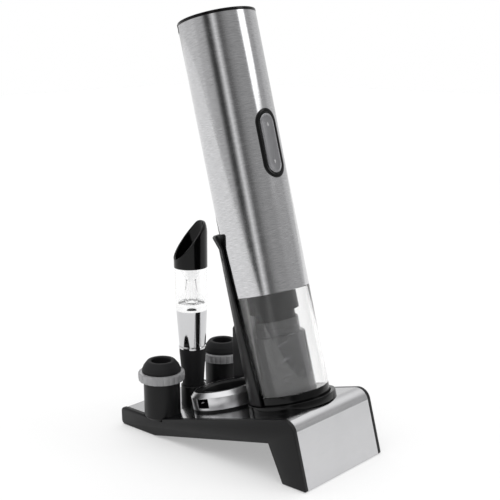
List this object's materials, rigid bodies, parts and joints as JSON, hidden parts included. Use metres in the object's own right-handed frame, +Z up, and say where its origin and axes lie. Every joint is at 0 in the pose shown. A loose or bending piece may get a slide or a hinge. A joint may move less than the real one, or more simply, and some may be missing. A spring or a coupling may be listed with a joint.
{
  "type": "electric wine opener set",
  "caption": "Electric corkscrew leaning in a steel-decked stand, with a foil cutter, a pouring aerator and bottle stoppers.",
  "frame": {"origin": "on the ground under the middle of the stand", "axes": "+X to the stand's right seen from the front, +Y to the rear, +Z up; the front panel faces -Y and the opener leans back towards +Y"},
  "size_m": [0.0886, 0.16, 0.274],
  "materials": {
    "black_plastic": "fine satin texture",
    "gloss_black": "gloss",
    "clear_plastic": "clear, polished",
    "smoked_plastic": "smoked, translucent",
    "brushed_steel": "brushed along its length",
    "chrome": "mirror plated",
    "rubber": "matt",
    "screw_steel": "plated",
    "gear_metal": "machined",
    "cell_wrap": "printed wrap",
    "board_green": "solder mask"
  },
  "bodies": {
    "stand": {"base_body": "black_plastic", "under_cover": "black_plastic", "cover_screws": "screw_steel", "rubber_feet": "rubber", "deck_panel": "brushed_steel", "side_cheek_left": "black_plastic", "side_cheek_right": "black_plastic", "cradle": "black_plastic", "seat_collar": "black_plastic", "seat_pad": "rubber", "stopper_cup_left": "black_plastic", "stopper_cup_right": "black_plastic", "aerator_holder": "black_plastic"},
    "opener": {"outer_sleeve": "brushed_steel", "top_cap": "black_plastic", "charge_port": "black_plastic", "clear_sleeve": "clear_plastic", "base_ring": "gloss_black", "neck_guide": "smoked_plastic", "drive_shroud": "black_plastic", "gearbox_housing": "black_plastic", "ring_gear": "gear_metal", "drive_motor": "screw_steel", "battery_cells": "cell_wrap", "chassis_left": "black_plastic", "chassis_right": "black_plastic", "control_board": "board_green", "push_switches": "black_plastic", "button_bezel": "gloss_black"},
    "rocker": {"rocker_plate": "brushed_steel", "rocker_body": "black_plastic"},
    "worm": {"worm_screw": "screw_steel", "planet_carrier": "gear_metal"},
    "sun": {"motor_pinion": "gear_metal"},
    "foil_cutter": {"cutter_band": "brushed_steel", "cutter_core": "black_plastic", "wheel_pins": "screw_steel"},
    "aerator": {"aerator_plug": "rubber", "aerator_cone": "chrome", "aerator_chamber": "clear_plastic", "aerator_nozzle": "clear_plastic", "aerator_spout": "gloss_black"},
    "planet_1": {"planet_gear_1": "gear_metal"},
    "planet_2": {"planet_gear_2": "gear_metal"},
    "planet_3": {"planet_gear_3": "gear_metal"},
    "wheel_1": {"cutter_wheel_1": "screw_steel"},
    "wheel_2": {"cutter_wheel_2": "screw_steel"},
    "wheel_3": {"cutter_wheel_3": "screw_steel"},
    "wheel_4": {"cutter_wheel_4": "screw_steel"},
    "stopper_left": {"stopper_left_plug": "rubber", "stopper_left_flange": "clear_plastic", "stopper_left_dome": "rubber", "stopper_left_valve": "rubber"},
    "stopper_right": {"stopper_right_plug": "rubber", "stopper_right_flange": "clear_plastic", "stopper_right_dome": "rubber", "stopper_right_valve": "rubber"}
  },
  "joints": [
    {"name": "opener_lift", "type": "slide", "parent": "stand", "child": "opener", "axis": [0, 0.2504, 0.9681], "range_m": [0, 0.12]},
    {"name": "rocker_tilt", "type": "hinge", "parent": "opener", "child": "rocker", "pos_m": [0, -0.01778, 0.19314], "axis": [1, 0, 0], "range_deg": [-3, 3], "stiffness_Nm_per_rad": 0.06},
    {"name": "worm_spin", "type": "hinge", "parent": "opener", "child": "worm", "pos_m": [0, -0.01822, 0.11558], "axis": [0, 0.2504, 0.9681], "continuous": true},
    {"name": "sun_spin", "type": "hinge", "parent": "opener", "child": "sun", "pos_m": [0, -0.01521, 0.1272], "axis": [0, 0.2504, 0.9681], "continuous": true},
    {"name": "planet_1_spin", "type": "hinge", "parent": "worm", "child": "planet_1", "pos_m": [0.0086, -0.01521, 0.1272], "axis": [0, 0.2504, 0.9681], "continuous": true},
    {"name": "planet_2_spin", "type": "hinge", "parent": "worm", "child": "planet_2", "pos_m": [-0.0043, -0.008, 0.12534], "axis": [0, 0.2504, 0.9681], "continuous": true},
    {"name": "planet_3_spin", "type": "hinge", "parent": "worm", "child": "planet_3", "pos_m": [-0.0043, -0.02242, 0.12907], "axis": [0, 0.2504, 0.9681], "continuous": true},
    {"name": "cutter_slide", "type": "slide", "parent": "stand", "child": "foil_cutter", "axis": [-0.9806, -0.1899, 0.0491], "range_m": [0, 0.08]},
    {"name": "wheel_1_spin", "type": "hinge", "parent": "foil_cutter", "child": "wheel_1", "pos_m": [-0.01678, 0.02201, 0.0244], "axis": [0, 0.2504, 0.9681], "continuous": true},
    {"name": "wheel_2_spin", "type": "hinge", "parent": "foil_cutter", "child": "wheel_2", "pos_m": [-0.01678, 0.00889, 0.0278], "axis": [0, 0.2504, 0.9681], "continuous": true},
    {"name": "wheel_3_spin", "type": "hinge", "parent": "foil_cutter", "child": "wheel_3", "pos_m": [0.01678, 0.00889, 0.0278], "axis": [0, 0.2504, 0.9681], "continuous": true},
    {"name": "wheel_4_spin", "type": "hinge", "parent": "foil_cutter", "child": "wheel_4", "pos_m": [0.01678, 0.02201, 0.0244], "axis": [0, 0.2504, 0.9681], "continuous": true},
    {"name": "aerator_lift", "type": "slide", "parent": "stand", "child": "aerator", "axis": [0, 0, 1], "range_m": [0, 0.06]},
    {"name": "stopper_left_lift", "type": "slide", "parent": "stand", "child": "stopper_left", "axis": [0, 0, 1], "range_m": [0, 0.06]},
    {"name": "stopper_right_lift", "type": "slide", "parent": "stand", "child": "stopper_right", "axis": [0, 0, 1], "range_m": [0, 0.06]}
  ],
  "couplings": [
    {"joint": "sun_spin", "follows": "worm_spin", "ratio": 5.7333},
    {"joint": "planet_1_spin", "follows": "worm_spin", "ratio": -2.5357},
    {"joint": "planet_2_spin", "follows": "worm_spin", "ratio": -2.5357},
    {"joint": "planet_3_spin", "follows": "worm_spin", "ratio": -2.5357}
  ]
}
